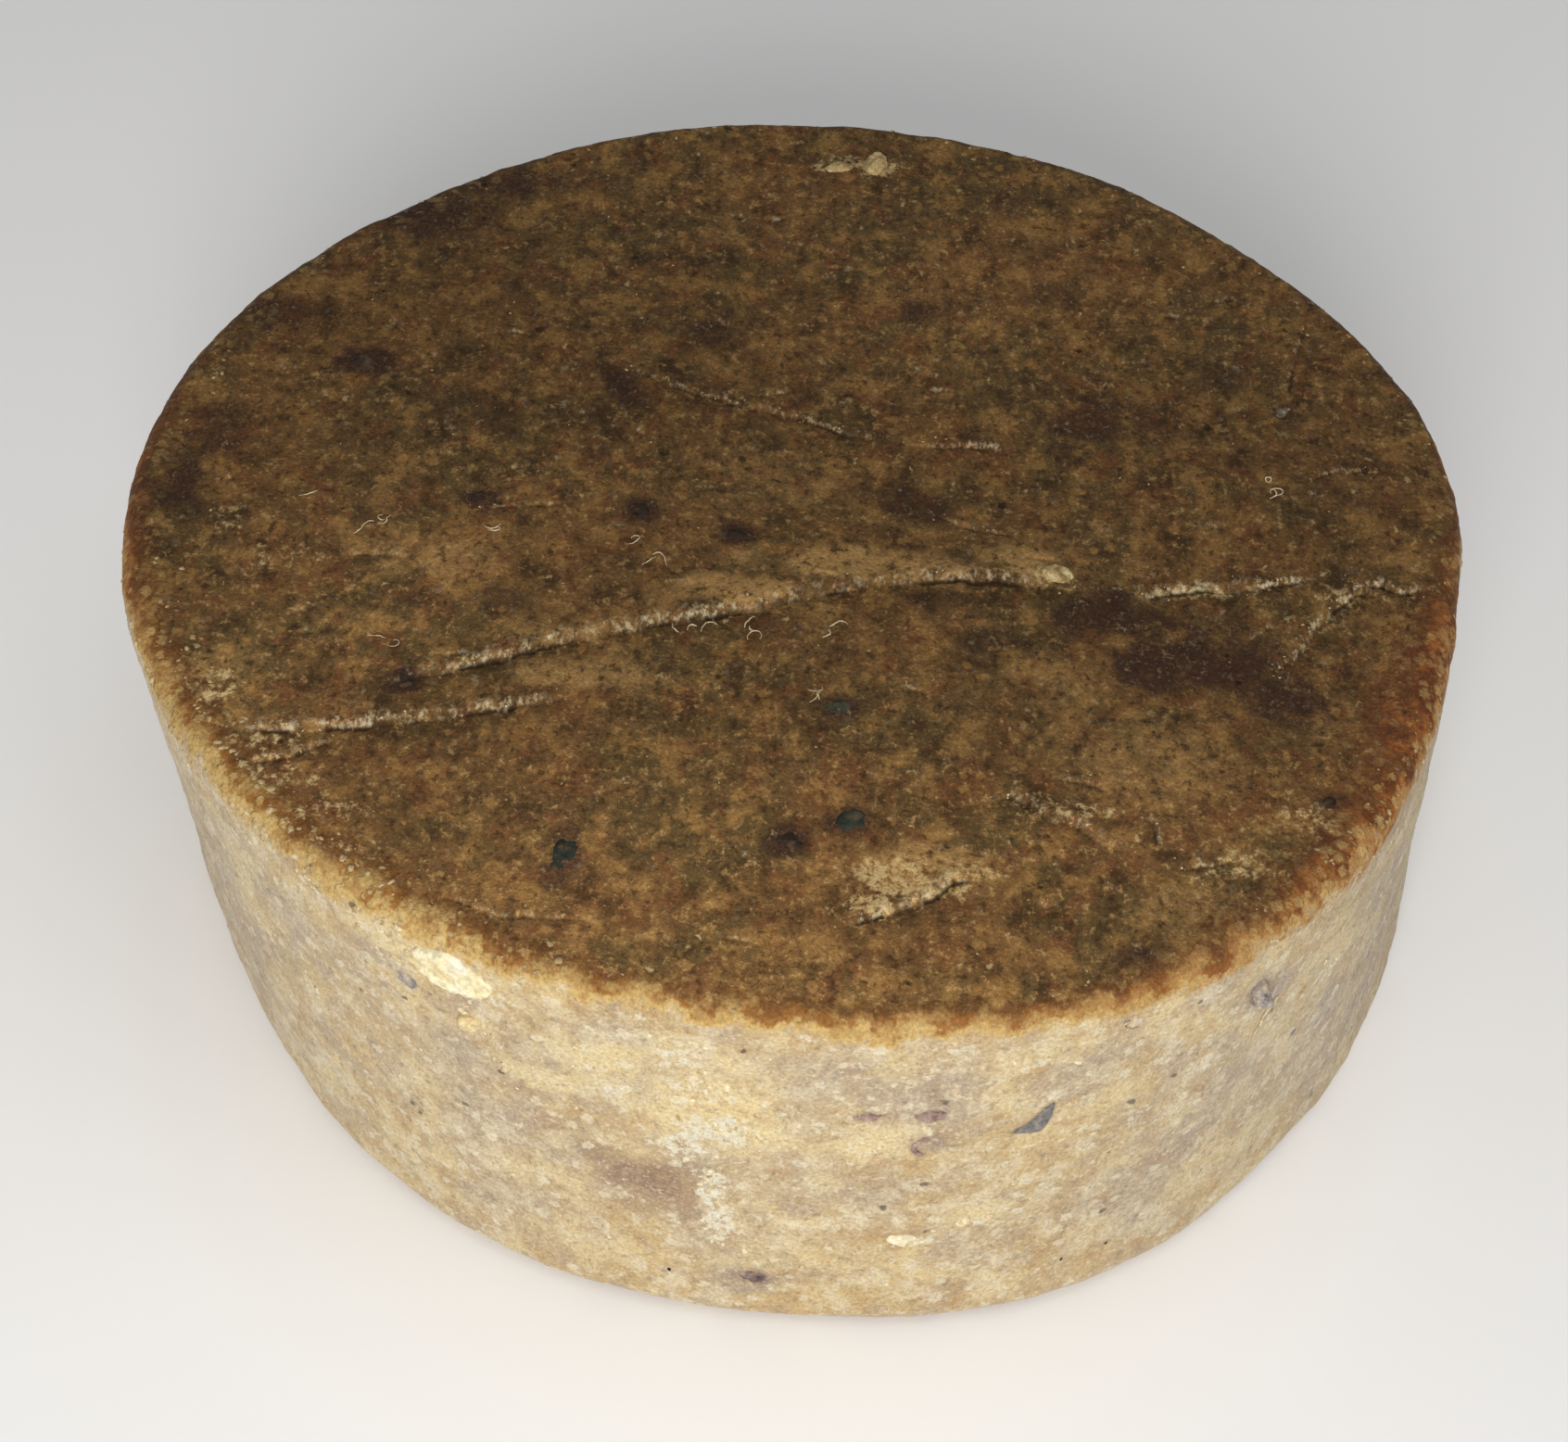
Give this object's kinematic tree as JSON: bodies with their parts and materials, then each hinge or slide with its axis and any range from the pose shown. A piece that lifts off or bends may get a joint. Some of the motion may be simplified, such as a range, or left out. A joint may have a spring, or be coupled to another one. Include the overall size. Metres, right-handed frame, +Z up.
{
  "type": "shaving soap puck",
  "caption": "Round hand-pressed puck of brown botanical shaving soap with embedded leaf, husk, char and butter pieces; lathers under a wet brush.",
  "frame": {"origin": "centre of the flat base, on the surface that the puck rests on", "axes": "+Z up, out of the face that the brush loads from; -Y towards the front, the side with the cream lump at the rim; +X right"},
  "size_m": [0.0768, 0.0757, 0.0277],
  "materials": {
    "soap": "waxy, slightly translucent milled soap, mottled brown",
    "butter": "opaque cream-yellow unmelted butter",
    "char": "dull charred botanical",
    "leaf": "dry dark teal leaf",
    "slate": "slate-grey flake, slightly shiny",
    "husk": "dry grey-brown seed husk",
    "grit": "pale mineral grain",
    "plant_hair": "pale plant fibre"
  },
  "bodies": {
    "root": {"soap_body": "soap", "blue_chip_side": "slate", "blue_leaf_flake": "leaf", "char_chip_back_left": "char", "char_chip_centre": "char", "char_chip_front": "char", "char_chip_front_left": "char", "char_chip_left": "char", "char_chip_left_of_centre": "char", "char_chip_right": "char", "char_specks": "char", "cream_bead_side": "butter", "cream_chip_low": "butter", "cream_chip_low_small": "butter", "cream_crumb_back": "butter", "cream_crumb_fold": "butter", "cream_lump_back": "butter", "cream_lump_rim": "butter", "grey_flake_side": "slate", "husk_ring": "husk", "husk_splinter": "husk", "long_plant_hair": "plant_hair", "pale_grit": "grit", "plant_hairs": "plant_hair", "purple_chip_low": "char", "red_husk_sliver": "husk", "slate_flake": "slate", "teal_leaf_flake": "leaf", "teal_leaf_sliver": "leaf"}
  },
  "joints": []
}
